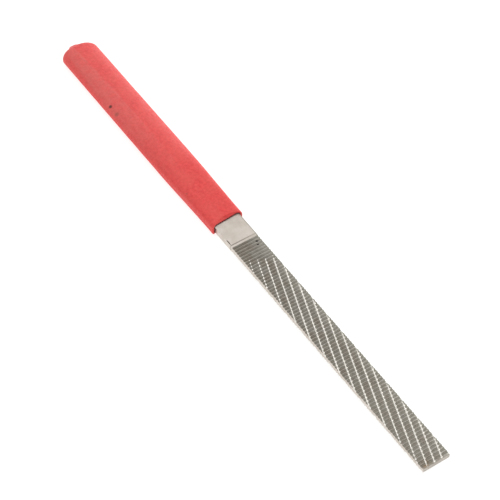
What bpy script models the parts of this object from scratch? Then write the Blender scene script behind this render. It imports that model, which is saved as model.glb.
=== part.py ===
"""Flat hand file: a steel blade with straight cross-cut teeth and diagonal chip-breaker grooves on both
faces, and a closed-end vinyl sleeve pushed over its flat tang as a grip.

Lengths are metres. +X runs from the grip to the tip and +Z is up through one toothed face. The file lies
with the flat underside of the grip on z = 0, and the origin is under the middle of its length.
"""

import math

import bmesh
import bpy

# Along the length
EXPOSED_LENGTH = 0.1440  # mouth of the sleeve to the tip
TOOTHED_START = 0.13060  # first tooth to the tip
STEP_TO_TIP = 0.1320  # ground step between the plain heel and the toothed part
GROOVES_START = 0.1176  # first chip-breaker cut to the tip
SLEEVE_LENGTH = 0.1265  # mouth to the rounded end, without the drip mark
DRIP_HEIGHT = 0.0012
TOTAL_LENGTH = EXPOSED_LENGTH + SLEEVE_LENGTH + DRIP_HEIGHT

# Steel section
BLADE_WIDTH = 0.0127
HEEL_THICKNESS = 0.0029
TIP_THICKNESS = 0.0023
HEEL_STEP = 0.00012  # how far the plain heel stands above the toothed part, on each face
TANG_LENGTH = 0.1200  # steel hidden inside the sleeve
TANG_CORNER = 0.0040
TANG_CORNER_SEGMENTS = 5

# Teeth
TOOTH_PITCH = 0.0015875  # sixteen to the inch
TOOTH_DEPTH = 0.00048
TOOTH_COUNT = 82
FRONT_RUN = 0.14 * TOOTH_PITCH  # length of the steep front face of a tooth

# Chip-breaker grooves
GROOVE_PITCH = 0.010075  # along the blade
GROOVE_ANGLE = math.radians(19.1)  # away from the blade's long axis
GROOVE_HALF_WIDTH = 0.00038
GROOVE_DEPTH = 0.00058
FIRST_GROOVE = 0.0021  # where the groove nearest the tip crosses the middle of the face, from the tip
GROOVES_BEYOND_TIP = 1  # grooves whose middle would fall past the tip
GROOVES_ALONG = 14
CUTTER_RISE = 0.0006  # how far a cutter stands above the face
CUTTER_OVERRUN = 0.0012  # how far a cutter runs past the side of the blade

# Sleeve
SLEEVE_WIDTH = 0.0175
SLEEVE_THICKNESS = 0.0070
SLEEVE_SQUARENESS = 2.35  # exponent of the flat-oval section: 2 is an ellipse, larger is squarer
REST_FLAT = 0.0001  # how much of the crowned underside is cut level where the grip rests
MOUTH_WIDTH = 0.0153
MOUTH_THICKNESS = 0.0053
MOUTH_SQUARENESS = 6.0  # the mouth is stretched square by the steel inside it
MOUTH_TAPER = 0.0540  # length over which the sleeve changes from its mouth's section to its own
MOUTH_EDGE = 0.00035  # round on the outer edge of the mouth
MOUTH_EDGE_RINGS = 3
MOUTH_DIP = 0.00235  # how far the mouth's edge curves back where it is deepest
MOUTH_DIP_CENTRE = 0.0007  # it is deepest this far towards +Y
MOUTH_DIP_SPAN = 0.0070  # from there to where the edge stands at MOUTH_X again
MOUTH_FORWARD = 0.0004  # the most that the edge stands forward of MOUTH_X, on the -Y side
MOUTH_DIP_FADE = 0.0100  # how far behind the mouth that curve dies away
MOUTH_TAPER_RINGS = 12
END_DEPTH = 0.0053  # length of the rounded end, seen from above
END_RINGS = 15
TANG_GAP = 0.0003  # clearance round the tang
POCKET_SQUARENESS = 40.0
POCKET_END_GAP = 0.0005
DRIP_CENTRE = -0.00075  # across the end
DRIP_HALF_WIDTH = 0.0023
DRIP_HALF_HEIGHT = 0.0019
DRIP_FADE = 0.0020  # how far back from the end the drip mark reaches
RING_POINTS = 44

TIP_X = TOTAL_LENGTH / 2
MOUTH_X = TIP_X - EXPOSED_LENGTH
SLEEVE_END_X = MOUTH_X - SLEEVE_LENGTH
TANG_END_X = MOUTH_X - TANG_LENGTH
MID_HEIGHT = SLEEVE_THICKNESS / 2 - REST_FLAT


def clear_scene():
    for found in list(bpy.data.objects):
        bpy.data.objects.remove(found, do_unlink=True)


def material(name, colour, metallic, roughness):
    made = bpy.data.materials.new(name)
    made.use_nodes = True
    shader = made.node_tree.nodes["Principled BSDF"]
    shader.inputs["Base Color"].default_value = (*colour, 1.0)
    shader.inputs["Metallic"].default_value = metallic
    shader.inputs["Roughness"].default_value = roughness
    made.diffuse_color = (*colour, 1.0)
    return made


def linked_object(name, shape):
    bmesh.ops.recalc_face_normals(shape, faces=shape.faces)
    mesh = bpy.data.meshes.new(name)
    shape.to_mesh(mesh)
    shape.free()
    made = bpy.data.objects.new(name, mesh)
    bpy.context.scene.collection.objects.link(made)
    return made


def face_height(x):
    """Height of the tooth crests above the middle plane: the blade thins evenly from the heel to the tip."""
    share = min(max((TIP_X - x) / STEP_TO_TIP, 0.0), 1.0)
    return (TIP_THICKNESS + (HEEL_THICKNESS - TIP_THICKNESS) * share) / 2


def upper_outline():
    """(x, height above the middle plane) along the upper face, from the tang's end to the tip."""
    step_x = TIP_X - STEP_TO_TIP
    pad = face_height(step_x) + HEEL_STEP
    points = [(TANG_END_X, pad), (step_x, pad), (step_x, face_height(step_x))]
    crest = TIP_X - TOOTHED_START
    points.append((crest, face_height(crest)))
    for _ in range(TOOTH_COUNT):
        root = crest + FRONT_RUN
        points.append((root, face_height(root) - TOOTH_DEPTH))
        crest += TOOTH_PITCH
        points.append((crest, face_height(crest)))
    points.append((TIP_X, face_height(TIP_X)))
    return points


def blade_body():
    """The side outline of the steel, with teeth above and below, drawn across the blade's width."""
    upper = upper_outline()
    outline = upper + [(x, -height) for x, height in reversed(upper)]
    shape = bmesh.new()
    near = [shape.verts.new((x, -BLADE_WIDTH / 2, MID_HEIGHT + z)) for x, z in outline]
    far = [shape.verts.new((x, BLADE_WIDTH / 2, MID_HEIGHT + z)) for x, z in outline]
    shape.faces.new(near)
    shape.faces.new(list(reversed(far)))
    for i in range(len(outline)):
        following = (i + 1) % len(outline)
        shape.faces.new((near[following], near[i], far[i], far[following]))
    corners = [
        edge
        for edge in shape.edges
        if all(abs(vert.co.x - TANG_END_X) < 1e-6 for vert in edge.verts)
        and abs(edge.verts[0].co.y - edge.verts[1].co.y) < 1e-6
    ]
    bmesh.ops.bevel(
        shape,
        geom=corners,
        offset=TANG_CORNER,
        offset_type="OFFSET",
        segments=TANG_CORNER_SEGMENTS,
        profile=0.5,
        affect="EDGES",
    )
    return linked_object("toothed_blade", shape)


def groove_prism(shape, start_x, end_x, middle_x, side):
    """One V-shaped cutter along a groove. The groove crosses the middle of the face at middle_x and drifts
    towards -Y as it nears the tip. side is 1 for the upper face and -1 for the lower one, where the pattern
    is turned half way round the long axis."""
    slope = math.tan(GROOVE_ANGLE)
    spread = GROOVE_HALF_WIDTH * (1 + CUTTER_RISE / GROOVE_DEPTH)
    rings = []
    for x in (start_x, end_x):
        y = (middle_x - x) * slope
        face = face_height(x)
        low = (x, y, face - GROOVE_DEPTH)
        right_x = x + spread * math.sin(GROOVE_ANGLE)
        right_y = y + spread * math.cos(GROOVE_ANGLE)
        left_x = x - spread * math.sin(GROOVE_ANGLE)
        left_y = y - spread * math.cos(GROOVE_ANGLE)
        right = (right_x, right_y, face + CUTTER_RISE)
        left = (left_x, left_y, face + CUTTER_RISE)
        ring = [shape.verts.new((px, side * py, MID_HEIGHT + side * pz)) for px, py, pz in (low, right, left)]
        rings.append(ring)
    first, last = rings
    shape.faces.new(first)
    shape.faces.new(list(reversed(last)))
    for i in range(3):
        following = (i + 1) % 3
        shape.faces.new((first[following], first[i], last[i], last[following]))


def groove_cutter():
    """All the chip-breaker cuts of both faces as one cutter made of separate prisms."""
    shape = bmesh.new()
    reach = (BLADE_WIDTH / 2 + CUTTER_OVERRUN) / math.tan(GROOVE_ANGLE)
    grooves_start_x = TIP_X - GROOVES_START
    for i in range(-GROOVES_BEYOND_TIP, GROOVES_ALONG):
        middle_x = TIP_X - FIRST_GROOVE - i * GROOVE_PITCH
        start_x = max(middle_x - reach, grooves_start_x)
        end_x = min(middle_x + reach, TIP_X + CUTTER_OVERRUN)
        if end_x > start_x:
            groove_prism(shape, start_x, end_x, middle_x, 1)
            groove_prism(shape, start_x, end_x, middle_x, -1)
    made = linked_object("groove_cutter", shape)
    made.hide_render = True
    made.display_type = "WIRE"
    return made


def section_ring(shape, x, half_width, half_height, squareness):
    """A ring of points round a flat oval across the X axis. The oval is a superellipse of this squareness,
    cut off level where the grip rests."""
    points = []
    for i in range(RING_POINTS):
        angle = 2 * math.pi * (i + 0.5) / RING_POINTS
        across = math.copysign(abs(math.cos(angle)) ** (2 / squareness), math.cos(angle))
        upright = math.copysign(abs(math.sin(angle)) ** (2 / squareness), math.sin(angle))
        z = max(MID_HEIGHT + half_height * upright, 0.0)
        dip = mouth_dip(x, half_width * across)
        points.append(shape.verts.new((x - dip, half_width * across, z)))
    return points


def mouth_dip(x, y):
    """How far back a point near the mouth is moved, so that the mouth's edge curves back in the middle."""
    dip = MOUTH_DIP * (1 - ((y - MOUTH_DIP_CENTRE) / MOUTH_DIP_SPAN) ** 2)
    return max(dip, -MOUTH_FORWARD) * (1 - smooth_share((MOUTH_X - x) / MOUTH_DIP_FADE))


def smooth_share(share):
    """Eases from 0 to 1 with no corner at either end."""
    share = min(max(share, 0.0), 1.0)
    return share * share * (3 - 2 * share)


def drip_reach(y, height, from_end):
    """How far the drip mark pushes the rounded end outwards at this point."""
    across = math.exp(-(((y - DRIP_CENTRE) / DRIP_HALF_WIDTH) ** 6))
    upright = math.exp(-((height / DRIP_HALF_HEIGHT) ** 4))
    return DRIP_HEIGHT * across * upright * (1 - smooth_share(from_end / DRIP_FADE))


def between(share, first, second):
    return first + (second - first) * share


def outer_rings(shape):
    """Outside of the sleeve from its mouth to the last ring before the point of its rounded end."""
    half_width = SLEEVE_WIDTH / 2
    half_height = SLEEVE_THICKNESS / 2
    rings = []
    for i in range(MOUTH_EDGE_RINGS):
        turn = math.pi / 2 * i / MOUTH_EDGE_RINGS
        inset = MOUTH_EDGE * (1 - math.sin(turn))
        x = MOUTH_X - MOUTH_EDGE * (1 - math.cos(turn))
        ring = section_ring(shape, x, MOUTH_WIDTH / 2 - inset, MOUTH_THICKNESS / 2 - inset, MOUTH_SQUARENESS)
        rings.append(ring)
    for i in range(MOUTH_TAPER_RINGS + 1):
        share = i / MOUTH_TAPER_RINGS
        x = between(share, MOUTH_X - MOUTH_EDGE, MOUTH_X - MOUTH_TAPER)
        eased = smooth_share(share)
        wide = between(eased, MOUTH_WIDTH / 2, half_width)
        high = between(eased, MOUTH_THICKNESS / 2, half_height)
        square = between(eased, MOUTH_SQUARENESS, SLEEVE_SQUARENESS)
        rings.append(section_ring(shape, x, wide, high, square))
    for i in range(END_RINGS):
        turn = math.pi / 2 * i / END_RINGS
        from_end = END_DEPTH * (1 - math.sin(turn))
        wide = half_width * math.cos(turn)
        short = max(1 - from_end / half_height, 0.0)
        high = half_height * math.sqrt(1 - short * short)
        ring = section_ring(shape, SLEEVE_END_X + from_end, wide, high, SLEEVE_SQUARENESS)
        for vert in ring:
            vert.co.x -= drip_reach(vert.co.y, vert.co.z - MID_HEIGHT, from_end)
        rings.append(ring)
    return rings


def joined(shape, rings):
    """Faces between each ring and the next."""
    for before, after in zip(rings, rings[1:]):
        for i in range(len(before)):
            following = (i + 1) % len(before)
            shape.faces.new((before[i], before[following], after[following], after[i]))


def sleeve_body():
    """The vinyl sleeve: a flat-oval tube with a rounded closed end and a pocket that follows the tang."""
    shape = bmesh.new()
    outside = outer_rings(shape)
    pocket_width = BLADE_WIDTH / 2 + TANG_GAP
    pocket_height = face_height(TANG_END_X) + HEEL_STEP + TANG_GAP
    pocket_end_x = TANG_END_X - POCKET_END_GAP
    mouth = section_ring(shape, MOUTH_X, pocket_width, pocket_height, POCKET_SQUARENESS)
    bottom = section_ring(shape, pocket_end_x, pocket_width, pocket_height, POCKET_SQUARENESS)
    joined(shape, [bottom, mouth] + outside)
    shape.faces.new(bottom)
    point = shape.verts.new((SLEEVE_END_X - drip_reach(0.0, 0.0, 0.0), 0.0, MID_HEIGHT))
    last = outside[-1]
    for i in range(len(last)):
        shape.faces.new((last[i], last[(i + 1) % len(last)], point))
    return linked_object("grip_sleeve", shape)


clear_scene()

steel = material("blade_steel", (0.46, 0.44, 0.41), 1.0, 0.38)
blade = blade_body()
blade.data.materials.append(steel)
cut = blade.modifiers.new("chip breakers", "BOOLEAN")
cut.operation = "DIFFERENCE"
cut.solver = "EXACT"
cut.object = groove_cutter()

vinyl = material("grip_vinyl", (0.72, 0.105, 0.095), 0.0, 0.55)
sleeve = sleeve_body()
sleeve.data.materials.append(vinyl)
sleeve.data.shade_smooth()
sleeve.data.set_sharp_from_angle(angle=math.radians(40))
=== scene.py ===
"""A flat hand file with a red vinyl grip, lying on a pale bench under soft light."""

import math

import bmesh
import bpy
import numpy as np
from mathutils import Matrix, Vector


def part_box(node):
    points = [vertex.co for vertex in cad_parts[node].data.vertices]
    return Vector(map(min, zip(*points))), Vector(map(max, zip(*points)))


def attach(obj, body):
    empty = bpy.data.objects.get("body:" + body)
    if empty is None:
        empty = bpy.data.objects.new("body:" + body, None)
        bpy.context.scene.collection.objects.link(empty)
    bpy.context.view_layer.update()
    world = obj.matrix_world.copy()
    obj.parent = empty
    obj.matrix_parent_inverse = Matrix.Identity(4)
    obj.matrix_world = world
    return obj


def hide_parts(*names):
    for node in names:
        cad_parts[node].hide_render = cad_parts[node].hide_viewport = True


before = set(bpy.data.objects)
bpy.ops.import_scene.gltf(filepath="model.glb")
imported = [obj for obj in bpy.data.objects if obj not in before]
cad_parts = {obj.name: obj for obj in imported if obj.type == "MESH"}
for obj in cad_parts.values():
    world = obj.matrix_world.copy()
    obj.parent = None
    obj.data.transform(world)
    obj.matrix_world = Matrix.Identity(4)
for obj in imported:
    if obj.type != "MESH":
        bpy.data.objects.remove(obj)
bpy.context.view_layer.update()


# The file itself: one bar of hardened tool steel, forged and ground flat. Straight teeth are milled square across
# both faces, then shallow chip breakers are ground slantwise through them. The heel is left plain, and behind it
# the bar runs on inside the grip as a flat tang.
steel_low, steel_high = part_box("toothed_blade")
tip_x = steel_high.x
tang_x = steel_low.x
mouth_x = tip_x - 0.1440
steel_mid = (steel_low.z + steel_high.z) / 2
half_blade = (steel_high.y - steel_low.y) / 2
tang_corner = 0.0040

heel_half = 0.00145
tip_half = 0.00115
heel_step_x = tip_x - 0.1320
heel_step = 0.00012

tooth_pitch = 0.0015875
tooth_depth = 0.00048
tooth_count = 82
first_tooth_x = tip_x - 0.13060
last_crest_x = first_tooth_x + tooth_count * tooth_pitch

groove_angle = math.radians(19.1)
groove_pitch = 0.010075
groove_half = 0.00035
groove_floor_half = 0.00013
groove_full_depth = 0.00062
groove_zero_x = tip_x - 0.0021
groove_start_x = tip_x - 0.1176

# Along one tooth, as shares of the pitch and of the depth: crest land, steep front face, round root, long back.
tooth_share = np.array([0.0, 0.03, 0.12, 0.17, 0.23, 0.33, 0.52, 0.76, 0.95, 1.0])
tooth_level = np.array([0.0, -0.14, -0.82, -0.97, -1.0, -0.91, -0.62, -0.27, 0.0, 0.0])


def face_half(x):
    """Half the steel's thickness at the crests. It falls in a straight line from the heel to the tip."""
    share = np.clip((tip_x - x) / (tip_x - heel_step_x), 0.0, 1.0)
    return tip_half + (heel_half - tip_half) * share


def eased(share):
    """Goes from 0 to 1 and is level at both ends: 3 s squared less 2 s cubed."""
    share = np.clip(share, 0.0, 1.0)
    return share * share * (3 - 2 * share)


def slow_waves(a, b, seed, longest, count=9):
    """A smooth uneven field between about -1 and 1: the mean of sine waves over (a, b), each with its own seeded
    direction, phase and wavelength, from the longest down to a fifth of it."""
    dice = np.random.default_rng(seed)
    turn = dice.uniform(0, np.pi, count)
    phase = dice.uniform(0, 2 * np.pi, count)
    length = longest * dice.uniform(0.2, 1.0, count)
    total = np.zeros(np.broadcast(a, b).shape)
    for i in range(count):
        total += np.sin(2 * np.pi * (a * np.cos(turn[i]) + b * np.sin(turn[i])) / length[i] + phase[i])
    return total / count * 1.8


def groove_place(x, y):
    """Which chip breaker is nearest, counted from the tip, and how far (x, y) is from its middle line."""
    steps = ((groove_zero_x - x) * math.tan(groove_angle) - y) / (groove_pitch * math.tan(groove_angle))
    nearest = np.round(steps)
    return nearest, (nearest - steps) * groove_pitch * math.sin(groove_angle)


def groove_depth(x, y):
    """Depth of the chip breakers: the full depth times shares that ease up along x and across y from the heel,
    ease in over the first few millimetres, and fall by two fifths near the tip on the -Y edge."""
    across = (y + half_blade) / (2 * half_blade)
    bite = eased((x - groove_start_x) / 0.048 + across * 0.95)
    started = eased((x - groove_start_x + 0.0010 - 0.40 * (y - 0.0056)) / 0.0032)
    lifted = 0.42 * eased((x - tip_x + 0.034) / 0.018) * eased((-y - 0.0020) / 0.0040)
    return groove_full_depth * (0.42 + 0.58 * bite) * (1 - lifted) * started - 0.00006 * (1 - started)


def face_form(x, y, seed):
    """Height over the middle plane at (x, y) on one face, with how freshly ground it is, whether it is cut into
    teeth and how deep in a root it lies. The height is the lower of two surfaces: the tooth profile carried
    straight across, and the chip breaker, which has a narrow level floor between steep walls."""
    crest = face_half(x)
    walk = np.clip((x - first_tooth_x) / tooth_pitch, 0.0, tooth_count)
    level = np.interp(walk - np.floor(walk), tooth_share, tooth_level)
    toothed = (x > first_tooth_x - 1e-7) & (x < last_crest_x + 1e-7)
    level = np.where(toothed, level, 0.0)
    wear = 0.5 + 0.5 * slow_waves(x * 1.0, y * 0.35, seed, 0.0058)
    chatter = slow_waves(x, y, seed + 1, 0.0021)
    edge_drop = toothed * (1 + level) * (0.000022 * wear + 0.000010 * chatter)
    depth_share = 1 + 0.06 * slow_waves(x * 0.2, y * 0.1, seed + 2, 0.02)
    tooth = crest + level * tooth_depth * depth_share - edge_drop
    tooth = tooth + np.where(x < heel_step_x, heel_step, 0.0)
    _, aside = groove_place(x, y)
    depth = groove_depth(x, y)
    wall = np.clip(np.abs(aside) - groove_floor_half, 0.0, None)
    cut = crest - depth + wall * (groove_full_depth / (groove_half - groove_floor_half))
    grooved = toothed & (depth > 0)
    fresh = np.where(grooved, np.clip((tooth - cut) / 0.00003, 0.0, 1.0), 0.0)
    height = np.where(grooved, np.minimum(tooth, cut), tooth)
    cut_face = np.broadcast_to(x > first_tooth_x - 1e-7, height.shape) * 1.0
    return height, fresh, cut_face, np.clip(-level, 0.0, 1.0) * cut_face


def blade_stations():
    """Places along the bar where a ring of the mesh stands: close together on each tooth, at the heel's step and
    round the corners of the tang and the tip, and far apart on plain steel."""
    teeth = first_tooth_x + tooth_pitch * (np.arange(tooth_count)[:, None] + tooth_share[None, :-1])
    corner = tang_x + tang_corner * (1 - np.cos(np.linspace(0, np.pi / 2, 9)))
    hidden = np.linspace(tang_x + 0.012, mouth_x - 0.004, 8)
    heel = np.linspace(mouth_x - 0.002, heel_step_x - 0.0003, 16)
    step = heel_step_x + np.array([-0.00006, 0.00006, 0.0005, 0.0010])
    tip = np.array([last_crest_x, tip_x - 0.00010, tip_x])
    return np.unique(np.concatenate([corner, hidden, heel, step, teeth.ravel(), tip]))


def blade_lines():
    """Lines that run the length of the face, each as its y at the groove-zero station. They lie along the chip
    breakers, close together on each groove's walls and wider between, so that no groove is cut across a cell."""
    on_groove = [-0.46, -0.33, -0.23, -0.13, -0.04, 0.04, 0.13, 0.23, 0.33, 0.46]
    between = [1.10, 1.645, 2.19]
    across = np.array(on_groove + between) * 0.001
    grooves = -groove_pitch * math.tan(groove_angle) * np.arange(-3, 18)
    lines = (grooves[:, None] + across[None, :] / math.cos(groove_angle)).ravel()
    return np.sort(lines)[::-1]


def grid_faces(rings, points, start=0):
    """Quads between each ring of points and the next, closed round each ring, turned to face outwards."""
    ring, point = np.meshgrid(np.arange(rings - 1), np.arange(points), indexing="ij")
    following = (point + 1) % points
    here, beyond = ring * points, (ring + 1) * points
    quads = np.stack([here + point, here + following, beyond + following, beyond + point], axis=-1)
    return quads.reshape(-1, 4) + start


def closed_piece(name, points, marks, smooth_angle):
    """A closed mesh from rings of points, shape (rings, points, 3). The first and last rings are shrunk to one point
    each, equal points are merged, and each named mark becomes a number stored on the points."""
    rings, count = points.shape[:2]
    mesh = bpy.data.meshes.new(name)
    mesh.from_pydata(points.reshape(-1, 3).tolist(), [], grid_faces(rings, count).tolist())
    for mark, values in marks.items():
        mesh.attributes.new(mark, "FLOAT", "POINT").data.foreach_set("value", values.astype(np.float32).ravel())
    shape = bmesh.new()
    shape.from_mesh(mesh)
    bmesh.ops.remove_doubles(shape, verts=shape.verts, dist=2e-7)
    bmesh.ops.dissolve_degenerate(shape, dist=1e-8, edges=shape.edges)
    bmesh.ops.recalc_face_normals(shape, faces=shape.faces)
    shape.to_mesh(mesh)
    shape.free()
    mesh.shade_smooth()
    mesh.set_sharp_from_angle(angle=math.radians(smooth_angle))
    made = bpy.data.objects.new(name, mesh)
    bpy.context.scene.collection.objects.link(made)
    return made


def file_steel():
    """The whole bar as rings across X. Each ring goes over the upper face from +Y to -Y, down the side, back along
    the lower face, which is the upper one turned half way round the long axis, and up the other side."""
    x = blade_stations()[:, None]
    round_off = np.clip(tang_x + tang_corner - x, 0.0, tang_corner)
    half = half_blade - (tang_corner - np.sqrt(tang_corner**2 - round_off**2))
    end = np.where(x > tip_x - 1e-6, 0.00007, 0.0)
    half = half - end
    y = np.clip((groove_zero_x - x) * math.tan(groove_angle) + blade_lines()[None, :], -half, half)
    y = np.concatenate([half, y, -half], axis=1)
    upper, upper_fresh, upper_cut, upper_root = face_form(x, y, 11)
    lower, lower_fresh, lower_cut, lower_root = face_form(x, y, 37)
    upper, lower = upper - end, lower - end
    drop = np.array([0.06, 0.35, 0.65, 0.94])[None, :]
    near_side = upper[:, -1:] + (-lower[:, :1] - upper[:, -1:]) * drop
    far_side = -lower[:, -1:] + (upper[:, :1] + lower[:, -1:]) * drop
    side_wave = 0.00001 * slow_waves(x + 0 * drop, drop * 0.002, 5, 0.02)
    near_y = -half + side_wave * (end == 0)
    far_y = half + side_wave * (end == 0)
    z = np.concatenate([upper, near_side, -lower, far_side], axis=1)
    ring_y = np.concatenate([y, near_y, -y, far_y], axis=1)
    ring_x = np.broadcast_to(x, z.shape)
    none = np.zeros_like(near_side)
    fresh = np.concatenate([upper_fresh, none, lower_fresh, none], axis=1)
    cut = np.concatenate([upper_cut, none, lower_cut, none], axis=1)
    root = np.concatenate([upper_root, none, lower_root, none], axis=1)
    rings = np.stack([ring_x, ring_y, z + steel_mid], axis=-1)
    first_pole = np.broadcast_to([tang_x, 0.0, steel_mid], (1,) + rings.shape[1:])
    last_pole = np.broadcast_to([tip_x, 0.0, steel_mid], (1,) + rings.shape[1:])
    rings = np.concatenate([first_pole, rings, last_pole], axis=0)
    ends = np.zeros((1, z.shape[1]))
    marks = {"ground": fresh, "cut": cut, "root": root}
    marks = {mark: np.concatenate([ends, values, ends]) for mark, values in marks.items()}
    return closed_piece("file_steel", rings, marks, 28)


def node(tree, kind, inputs=None, **settings):
    """A shader node with its settings made, its plain inputs filled and its linked inputs joined."""
    made = tree.nodes.new(kind)
    for name, value in settings.items():
        setattr(made, name, value)
    for name, value in (inputs or {}).items():
        if isinstance(value, bpy.types.NodeSocket):
            tree.links.new(value, made.inputs[name])
        else:
            made.inputs[name].default_value = value
    return made


def blend_colour(tree, share, first, second, kind="MIX"):
    """Colour that goes from first to second as share goes from 0 to 1."""
    made = node(tree, "ShaderNodeMix", data_type="RGBA", blend_type=kind)
    for index, value in ((0, share), (6, first), (7, second)):
        if isinstance(value, bpy.types.NodeSocket):
            tree.links.new(value, made.inputs[index])
        else:
            made.inputs[index].default_value = value if index == 0 else (*value, 1.0)
    return made.outputs[2]


def ramp(tree, value, low, high, to_low=0.0, to_high=1.0, kind="SMOOTHSTEP"):
    """Number eased from to_low to to_high as value goes from low to high."""
    fed = {"Value": value, "From Min": low, "From Max": high, "To Min": to_low, "To Max": to_high}
    return node(tree, "ShaderNodeMapRange", fed, interpolation_type=kind).outputs[0]


def times(tree, first, second):
    """The two numbers multiplied."""
    return node(tree, "ShaderNodeMath", {0: first, 1: second}, operation="MULTIPLY").outputs[0]


def noise(tree, place, scale, detail=3.0, roughness=0.55, stretch=(1.0, 1.0, 1.0), shift=(0.0, 0.0, 0.0)):
    """Uneven pattern with about `scale` lumps to the metre, drawn out along an axis where stretch is under 1."""
    moved = node(tree, "ShaderNodeMapping", {"Vector": place, "Scale": stretch, "Location": shift})
    fed = {"Vector": moved.outputs[0], "Scale": scale, "Detail": detail, "Roughness": roughness}
    return node(tree, "ShaderNodeTexNoise", fed).outputs["Fac"]


def spot(tree, place, centre, inner, outer):
    """1 within inner of the centre, falling to 0 at outer."""
    away = node(tree, "ShaderNodeVectorMath", {0: place, 1: centre}, operation="DISTANCE").outputs["Value"]
    return ramp(tree, away, outer, inner)


def bare_steel():
    """Bare hardened steel: warm grey and faintly blotched where it is plain, darker with oxide over the teeth and
    bright where the chip breakers were ground last. Painted light and shade lie over the teeth and the end face. It
    has a painted shadow line in the heel's step, a painted dark reflection along the far arris, a nick painted as
    its shadow, two pits by the heel and a brown stain at the tip."""
    made = bpy.data.materials.new("bare_hardened_steel")
    made.use_nodes = True
    tree = made.node_tree
    shader = tree.nodes["Principled BSDF"]
    place = node(tree, "ShaderNodeTexCoord").outputs["Object"]
    root = node(tree, "ShaderNodeAttribute", attribute_name="root").outputs["Fac"]
    ground = node(tree, "ShaderNodeAttribute", attribute_name="ground").outputs["Fac"]
    cut = node(tree, "ShaderNodeAttribute", attribute_name="cut").outputs["Fac"]
    split = node(tree, "ShaderNodeSeparateXYZ", {0: place})
    along, across = split.outputs[0], split.outputs[1]

    # Plain steel.
    blotch = ramp(tree, noise(tree, place, 170.0, 3.0), 0.32, 0.68)
    grain = ramp(tree, noise(tree, place, 2600.0, 2.0, 0.6, (1.0, 0.45, 1.0)), 0.3, 0.7)
    scratch = ramp(tree, noise(tree, place, 1500.0, 3.0, 0.6, (0.25, 1.0, 1.0), (0.2, 0.7, 0.0)), 0.52, 0.70)
    colour = blend_colour(tree, blotch, (0.570, 0.515, 0.458), (0.672, 0.622, 0.575))
    colour = blend_colour(tree, times(tree, grain, 0.20), colour, (0.52, 0.46, 0.40))
    colour = blend_colour(tree, times(tree, scratch, 0.16), colour, (0.40, 0.36, 0.31))

    # Oxide over the cut teeth: patchy; lighter towards +Y, the softbox's side, as painted light; lighter on the
    # crests, partly from wear and partly as a painted highlight; and painted lighter in the roots near the tip to
    # cancel the shade that falls there. The chip breakers cut through it, and the end face is painted darker as
    # shade.
    oxide_patch = noise(tree, place, 190.0, 3.0, 0.6, (1.0, 1.0, 1.0), (0.4, 0.1, 0.0))
    oxide_patch = ramp(tree, oxide_patch, 0.34, 0.66)
    oxide = blend_colour(tree, oxide_patch, (0.300, 0.272, 0.232), (0.370, 0.352, 0.315))
    smudge = ramp(tree, noise(tree, place, 720.0, 3.0, 0.6, (0.7, 1.0, 1.0), (0.1, 0.6, 0.0)), 0.36, 0.66)
    oxide = blend_colour(tree, times(tree, smudge, 0.45), oxide, (0.245, 0.222, 0.190))
    # Painted light: the oxide is lightened towards +Y, the side that faces the softbox.
    oxide = blend_colour(tree, ramp(tree, across, 0.0012, 0.0060, 0.0, 0.65), oxide, (0.470, 0.450, 0.405))
    # The crests are lightened in broken patches: partly wear, partly a painted highlight that fades towards the tip.
    crest_broken = ramp(tree, noise(tree, place, 640.0, 2.0), 0.35, 0.65, 0.05, 0.75)
    crest = times(tree, ramp(tree, root, 0.10, 0.0), crest_broken)
    crest = times(tree, crest, ramp(tree, along, tip_x - 0.085, tip_x - 0.020, 0.80, 0.12))
    oxide = blend_colour(tree, crest, oxide, (0.56, 0.53, 0.49))
    # Painted light: the roots near the tip are lightened to cancel the shade that falls in them.
    near_tip = ramp(tree, along, tip_x - 0.100, tip_x - 0.025, 0.0, 0.85)
    root_light_near_tip = times(tree, ramp(tree, root, 0.35, 0.95), near_tip)
    oxide = blend_colour(tree, root_light_near_tip, oxide, (0.378, 0.354, 0.306))
    colour = blend_colour(tree, cut, colour, oxide)
    colour = blend_colour(tree, ground, colour, (0.96, 0.94, 0.90))
    # Painted shade: the end face at the tip is darkened, as it faces away from the softbox.
    end_face_shade = ramp(tree, along, tip_x - 0.00009, tip_x - 0.00003, 0.0, 0.85)
    end_shade_tone = blend_colour(tree, blotch, (0.360, 0.325, 0.285), (0.450, 0.415, 0.375))
    colour = blend_colour(tree, end_face_shade, colour, end_shade_tone)

    # A painted shadow line in the corner of the heel's step, and a short dark nick on the pad's near edge that runs
    # into it, painted as its shadow only.
    from_step = node(tree, "ShaderNodeMath", {0: along, 1: heel_step_x + 0.00008}, operation="SUBTRACT").outputs[0]
    from_step = node(tree, "ShaderNodeMath", {0: from_step}, operation="ABSOLUTE").outputs[0]
    step_shadow_across = ramp(tree, across, 0.0058, -0.0010, 0.30, 0.80)
    step_shadow = times(tree, ramp(tree, from_step, 0.00036, 0.00008), step_shadow_across)
    colour = blend_colour(tree, step_shadow, colour, (0.25, 0.225, 0.195))
    upper_side = ramp(tree, split.outputs[2], steel_mid, steel_mid + 0.0005)
    # Painted reflection: a thin dark line along the far arris of the upper face stands for the darker surroundings
    # it reflects.
    far_arris_dark_reflection = ramp(tree, across, half_blade - 0.00060, half_blade - 0.00030, 0.0, 0.60)
    far_arris_dark_reflection = times(tree, far_arris_dark_reflection, upper_side)
    colour = blend_colour(tree, far_arris_dark_reflection, colour, (0.30, 0.30, 0.25))
    flat_place = node(tree, "ShaderNodeVectorMath", {0: place, 1: (1.0, 1.0, 0.0)}, operation="MULTIPLY").outputs[0]
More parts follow.
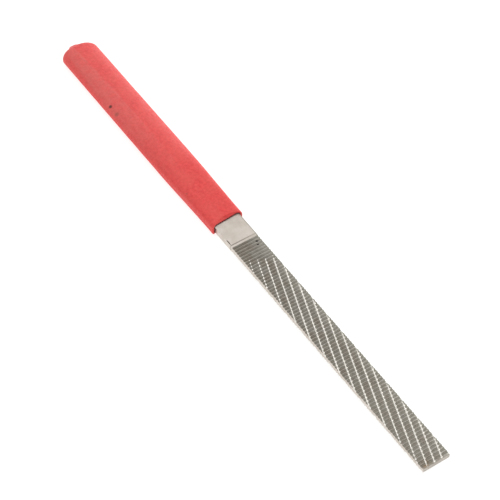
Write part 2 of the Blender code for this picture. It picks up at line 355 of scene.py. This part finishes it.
    # Painted shadow: the nick has no shape in the mesh; only its shadow is painted, as a short dark line on the
    # upper face.
    nick_shadow_centre = (tip_x - 0.13380, -0.00608, 0.0)
    nick_shadow = node(tree, "ShaderNodeVectorMath", {0: flat_place, 1: nick_shadow_centre}, operation="SUBTRACT").outputs[0]
    nick_shadow = node(tree, "ShaderNodeVectorMath", {0: nick_shadow, 1: (1 / 0.00165, 1 / 0.00022, 0.0)}, operation="MULTIPLY")
    nick_shadow = node(tree, "ShaderNodeVectorMath", {0: nick_shadow.outputs[0]}, operation="LENGTH").outputs["Value"]
    nick_shadow = times(tree, ramp(tree, nick_shadow, 1.2, 0.75), upper_side)
    colour = blend_colour(tree, nick_shadow, colour, (0.085, 0.072, 0.055))

    # Two pits on the teeth next to the heel, and the stain by the tip.
    first_pit = spot(tree, flat_place, (tip_x - 0.12820, 0.00430, 0.0), 0.00042, 0.00074)
    second_pit = spot(tree, flat_place, (tip_x - 0.12650, 0.00366, 0.0), 0.00034, 0.00066)
    pits = node(tree, "ShaderNodeMath", {0: first_pit, 1: second_pit}, operation="MAXIMUM").outputs[0]
    colour = blend_colour(tree, times(tree, pits, upper_side), colour, (0.012, 0.010, 0.008))
    stain = spot(tree, place, (tip_x - 0.0012, -0.0040, steel_mid + tip_half), 0.0004, 0.0030)
    stain_broken = ramp(tree, noise(tree, place, 900.0, 2.0), 0.42, 0.6)
    colour = blend_colour(tree, times(tree, times(tree, stain, stain_broken), 0.6), colour, (0.30, 0.19, 0.10))

    brushed = noise(tree, place, 5200.0, 2.0, 0.6, (1.0, 0.08, 1.0))
    lumps = noise(tree, place, 1400.0, 2.0, 0.5)
    rough = ramp(tree, lumps, 0.3, 0.7, 0.36, 0.50)
    rough = ramp(tree, ground, 0.0, 1.0, rough, 0.34)
    height = node(tree, "ShaderNodeMath", {0: brushed, 1: lumps}, operation="ADD").outputs[0]
    bump = node(tree, "ShaderNodeBump", {"Height": height, "Strength": 0.35, "Distance": 0.00003})
    tree.links.new(colour, shader.inputs["Base Color"])
    tree.links.new(rough, shader.inputs["Roughness"])
    tree.links.new(bump.outputs[0], shader.inputs["Normal"])
    shader.inputs["Metallic"].default_value = 1.0
    return made


steel = file_steel()
steel.data.materials.append(bare_steel())
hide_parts("toothed_blade")
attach(steel, "root")


# The grip: a sleeve dip-moulded in soft red vinyl, pushed over the tang. Its mouth is trimmed with a slight hollow
# in the middle and stretched to the steel's section. Its far end is closed and rounded, and the last drip of vinyl
# has set there as a low nub.
grip_low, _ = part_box("grip_sleeve")
drip_height = 0.0012
sleeve_end_x = grip_low.x + drip_height
sleeve_half = 0.01750 / 2
sleeve_high = 0.0070 / 2
sleeve_square = 2.35
sleeve_mid = sleeve_high - 0.0001
mouth_half = 0.0153 / 2
mouth_high = 0.0053 / 2
mouth_square = 6.0
mouth_taper = 0.0540
mouth_dip = 0.00235
dip_centre = 0.0007
dip_span = 0.0070
dip_forward = 0.0004
lip_round = 0.00035
end_depth = 0.0053
tang_gap = 0.0003


def oval_rings(x, half, high, square, turns):
    """Flat ovals across X: y is half times the cosine, and z high times the sine, each raised to 2 over the
    squareness with its sign kept. The oval is cut off level where the grip rests."""
    cosine, sine = np.cos(turns)[None, :], np.sin(turns)[None, :]
    power = 2 / square[:, None]
    y = half[:, None] * np.sign(cosine) * np.abs(cosine) ** power
    z = sleeve_mid + high[:, None] * np.sign(sine) * np.abs(sine) ** power
    return np.stack([np.broadcast_to(x[:, None], y.shape), y, np.maximum(z, 0.0)], axis=-1)


def dipped(rings):
    """The same rings with the mouth's edge curved back in the middle: each point is moved back by the dip times one
    less the square of its share of the span from the deepest place, fading out over the first centimetre."""
    dip = mouth_dip * (1 - ((rings[..., 1] - dip_centre) / dip_span) ** 2)
    rings[..., 0] -= np.maximum(dip, -dip_forward) * (1 - eased((mouth_x - rings[..., 0]) / 0.0100))
    return rings


def sleeve_outside(turns):
    """Outside of the sleeve. From the mouth its half width, half height and squareness ease from the mouth's values
    to the body's; over the rounded end the width follows an ellipse and the height a quarter circle."""
    body = mouth_x - np.concatenate([np.linspace(0.00060, mouth_taper, 76), np.linspace(0.0555, 0.1200, 60)])
    turn = np.linspace(0, np.pi / 2, 40)[:-1]
    from_end = end_depth * (1 - np.sin(turn))
    x = np.concatenate([body, sleeve_end_x + from_end])
    share = eased((mouth_x - x - lip_round) / (mouth_taper - lip_round))
    half = mouth_half + (sleeve_half - mouth_half) * share
    high = mouth_high + (sleeve_high - mouth_high) * share
    square = mouth_square + (sleeve_square - mouth_square) * share
    reach = np.clip(x - sleeve_end_x, 0.0, None)
    half = half * np.sqrt(1 - np.clip(1 - reach / end_depth, 0.0, 1.0) ** 2)
    high = high * np.sqrt(1 - np.clip(1 - reach / sleeve_high, 0.0, 1.0) ** 2)
    return oval_rings(x, half, high, square, turns)


def vinyl_sleeve():
    """The closed sleeve as rings across X, from the bottom of its pocket out to the mouth, round the cut lip and
    back over the outside to the far end. Slow waves move the outside by a few hundredths of a millimetre, as set
    vinyl is never quite even, and a flat-topped bump at the end is the drip mark."""
    turns = 2 * np.pi * (np.arange(160) + 0.5) / 160
    pocket_half = half_blade + tang_gap
    pocket_high = heel_half + heel_step + tang_gap
    from_mouth = np.array([0.02, 0.00025, 0.00006, 0.0])
    pocket_x = np.concatenate([[tang_x - 0.0005, tang_x + 0.02], mouth_x - from_mouth])
    flare = np.array([0.0, 0.0, 0.0, 0.0, 0.00005, 0.00020])
    pocket = oval_rings(pocket_x, pocket_half + flare, pocket_high + flare, np.full(6, 40.0), turns)
    turn = np.linspace(0, np.pi / 2, 6)
    lip_x = mouth_x - lip_round * (1 - np.cos(turn))
    lip_in = lip_round * (1 - np.sin(turn))
    lip = oval_rings(lip_x, mouth_half - lip_in, mouth_high - lip_in, np.full(6, mouth_square), turns)
    outside = sleeve_outside(turns)

    x, y, z = outside[..., 0], outside[..., 1], outside[..., 2]
    around = turns[None, :] * 0.008
    uneven = slow_waves(x * 0.45, around, 71, 0.016) * 0.000045 + slow_waves(x, around, 72, 0.0040) * 0.000008
    calm = eased((mouth_x - x) / 0.004) * eased((x - sleeve_end_x) / 0.004)
    uneven = uneven * calm * eased((z - 0.0001) / 0.0008)
    toward = np.stack([np.zeros_like(y), y, z - sleeve_mid], axis=-1)
    toward = toward / np.maximum(np.linalg.norm(toward, axis=-1, keepdims=True), 1e-9)
    outside = outside - toward * np.abs(uneven)[..., None]
    across = np.exp(-(((y + 0.00075) / 0.0023) ** 6))
    upright = np.exp(-(((z - sleeve_mid) / 0.0019) ** 4))
    fade = 1 - eased((x - sleeve_end_x) / 0.0020)
    outside[..., 0] -= drip_height * across * upright * fade

    rings = dipped(np.concatenate([pocket, lip, outside], axis=0))
    first_pole = np.broadcast_to([pocket_x[0], 0.0, sleeve_mid], (1, turns.size, 3))
    last_pole = np.broadcast_to([sleeve_end_x - drip_height, 0.0, sleeve_mid], (1, turns.size, 3))
    rings = np.concatenate([first_pole, rings, last_pole], axis=0)
    # Marks the rings of the mouth's cut face, where the material paints shade.
    mouth_face_shade_mask = np.zeros(rings.shape[:2])
    mouth_face_shade_mask[1:6] = 1.0
    mouth_face_shade_mask[6] = 0.6
    return closed_piece("vinyl_sleeve", rings, {"cut_face": mouth_face_shade_mask}, 40)


def red_vinyl():
    """Soft red vinyl with a satin skin: a fine mottled grain, a band along the grip towards its far end that is
    partly dust and partly a painted sheen, a pale haze over the top towards the far end that is partly dust and
    partly a painted sheen, a cut face at the mouth painted darker as shade, and three specks of oily dirt near the
    -Y edge."""
    made = bpy.data.materials.new("red_vinyl")
    made.use_nodes = True
    tree = made.node_tree
    shader = tree.nodes["Principled BSDF"]
    place = node(tree, "ShaderNodeTexCoord").outputs["Object"]
    split = node(tree, "ShaderNodeSeparateXYZ", {0: place})
    along, across = split.outputs[0], split.outputs[1]

    mottle = ramp(tree, noise(tree, place, 820.0, 4.0, 0.65), 0.30, 0.70)
    cloud = ramp(tree, noise(tree, place, 150.0, 2.0), 0.3, 0.7)
    colour = blend_colour(tree, mottle, (0.62, 0.034, 0.034), (0.76, 0.058, 0.055))
    colour = blend_colour(tree, times(tree, cloud, 0.35), colour, (0.70, 0.085, 0.070))

    upper_side = ramp(tree, split.outputs[2], sleeve_mid, sleeve_mid + 0.0015)
    near_shift = ramp(tree, along, sleeve_end_x, sleeve_end_x + 0.0370, 0.0017, 0.0004, "LINEAR")
    far_shift = ramp(tree, along, sleeve_end_x, sleeve_end_x + 0.0370, 0.0062, 0.0079, "LINEAR")
    from_near = node(tree, "ShaderNodeMath", {0: across, 1: near_shift}).outputs[0]
    from_far = node(tree, "ShaderNodeMath", {0: across, 1: far_shift}).outputs[0]
    near_edge = ramp(tree, from_near, 0.0005, -0.0005)
    far_edge = ramp(tree, from_far, -0.0009, 0.0009)
    # The band is partly dust and partly a painted sheen, standing for the softbox's broad reflection on the grip.
    towards_end = ramp(tree, along, mouth_x - 0.035, sleeve_end_x + 0.030, 0.25, 1.0)
    dust_and_sheen = times(tree, times(tree, times(tree, near_edge, far_edge), towards_end), upper_side)
    dust_and_sheen = times(tree, dust_and_sheen, ramp(tree, noise(tree, place, 420.0, 4.0, 0.6), 0.30, 0.62, 0.35, 1.0))
    colour = blend_colour(tree, times(tree, dust_and_sheen, 0.12), colour, (0.52, 0.33, 0.28))
    # Partly dust and partly a painted sheen: the upper half is hazed pale pink, more so towards the far end.
    dust_haze_and_sheen = times(tree, ramp(tree, along, mouth_x - 0.012, sleeve_end_x + 0.050, 0.0, 0.045), upper_side)
    colour = blend_colour(tree, dust_haze_and_sheen, colour, (0.90, 0.62, 0.58))

    front = -0.0068
    low = sleeve_mid + 0.00248
    speck_a = spot(tree, place, (tip_x - 0.22740, front, low), 0.00036, 0.00115)
    speck_b = spot(tree, place, (tip_x - 0.22190, front - 0.0001, low - 0.00005), 0.00030, 0.00160)
    speck_c = spot(tree, place, (tip_x - 0.16547, front + 0.0003, low + 0.00012), 0.00015, 0.00085)
    colour = blend_colour(tree, times(tree, speck_a, 0.92), colour, (0.075, 0.022, 0.018))
    colour = blend_colour(tree, times(tree, speck_b, 0.62), colour, (0.26, 0.070, 0.050))
    colour = blend_colour(tree, times(tree, speck_c, 0.35), colour, (0.30, 0.060, 0.045))
    # Painted shade: the cut face of the mouth, which faces away from the softbox, is darkened.
    cut_face = node(tree, "ShaderNodeAttribute", attribute_name="cut_face").outputs["Fac"]
    colour = blend_colour(tree, ramp(tree, cut_face, 0.3, 0.9), colour, (0.30, 0.030, 0.028))

    fine = noise(tree, place, 3200.0, 3.0, 0.6)
    coarse = noise(tree, place, 900.0, 2.0, 0.5)
    height = node(tree, "ShaderNodeMath", {0: times(tree, fine, 0.5), 1: coarse}, operation="ADD").outputs[0]
    bump = node(tree, "ShaderNodeBump", {"Height": height, "Strength": 0.30, "Distance": 0.00008})
    tree.links.new(colour, shader.inputs["Base Color"])
    tree.links.new(ramp(tree, coarse, 0.3, 0.7, 0.50, 0.66), shader.inputs["Roughness"])
    tree.links.new(bump.outputs[0], shader.inputs["Normal"])
    shader.inputs["Specular IOR Level"].default_value = 0.42
    return made


sleeve = vinyl_sleeve()
sleeve.data.materials.append(red_vinyl())
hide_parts("grip_sleeve")
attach(sleeve, "root")


# The bench top: a wide light table under the file, a grey acrylic sheet that glows nearly white from the lamps under
# it and so keeps shadows faint. It is not part of the object.
def bench_top():
    """A flat square of grid cells, 12 m on a side, just under the lowest point of the grip."""
    side = np.linspace(-6.0, 6.0, 7)
    across, along = np.meshgrid(side, side, indexing="xy")
    points = np.stack([across, along, np.full_like(across, -0.00002)], axis=-1).reshape(-1, 3)
    row, column = np.meshgrid(np.arange(6), np.arange(6), indexing="ij")
    corner = row * 7 + column
    quads = np.stack([corner, corner + 1, corner + 8, corner + 7], axis=-1).reshape(-1, 4)
    mesh = bpy.data.meshes.new("bench_top")
    mesh.from_pydata(points.tolist(), [], quads.tolist())
    made = bpy.data.objects.new("bench_top", mesh)
    bpy.context.scene.collection.objects.link(made)
    return made


def lit_acrylic():
    """Mid-grey acrylic with the faintest cloudiness. Most of its paleness is the glow of the lamps under it."""
    made = bpy.data.materials.new("lit_white_acrylic")
    made.use_nodes = True
    tree = made.node_tree
    shader = tree.nodes["Principled BSDF"]
    place = node(tree, "ShaderNodeTexCoord").outputs["Object"]
    cloud = noise(tree, place, 6.0, 2.0)
    body = blend_colour(tree, cloud, (0.44, 0.44, 0.44), (0.47, 0.47, 0.47))
    tree.links.new(body, shader.inputs["Base Color"])
    shader.inputs["Emission Color"].default_value = (1.0, 0.995, 0.985, 1.0)
    shader.inputs["Emission Strength"].default_value = 0.76
    shader.inputs["Roughness"].default_value = 0.9
    shader.inputs["Specular IOR Level"].default_value = 0.1
    return made


bench = bench_top()
bench.data.materials.append(lit_acrylic())


# Soft studio light: a bright surround, and one wide softbox beyond the far edge of the file that lights the crown of
# the grip and the walls of the chip breakers.
def softbox(name, position, aim, width, height, power):
    """A flat rectangular lamp that faces the aim point. Sizes are in metres and power in watts."""
    lamp = bpy.data.lights.new(name, "AREA")
    lamp.shape = "RECTANGLE"
    lamp.size = width
    lamp.size_y = height
    lamp.energy = power
    made = bpy.data.objects.new(name, lamp)
    made.location = position
    made.rotation_euler = (Vector(aim) - Vector(position)).to_track_quat("-Z", "Y").to_euler()
    bpy.context.scene.collection.objects.link(made)
    return made


surround = bpy.data.worlds.new("surround")
surround.use_nodes = True
surround.node_tree.nodes["Background"].inputs["Color"].default_value = (1.0, 0.995, 0.985, 1.0)
surround.node_tree.nodes["Background"].inputs["Strength"].default_value = 0.90
bpy.context.scene.world = surround
softbox("far_softbox", (-0.35, 1.30, 0.50), (0.0, 0.0, 0.0), 1.8, 0.9, 13.0)

bpy.context.scene.view_settings.view_transform = "Standard"
camera_data = bpy.data.cameras.new("camera")
camera_data.lens = 136.23
camera_data.sensor_width = 36.0
camera_data.clip_start = 0.01
camera_data.clip_end = 50.0
camera = bpy.data.objects.new("camera", camera_data)
camera.location = (0.42718, -0.27941, 0.60422)
camera_aim = Vector((0.01012, -0.00085, 0.00470))
camera.rotation_euler = (camera_aim - camera.location).to_track_quat("-Z", "Y").to_euler()
bpy.context.scene.collection.objects.link(camera)
bpy.context.scene.camera = camera
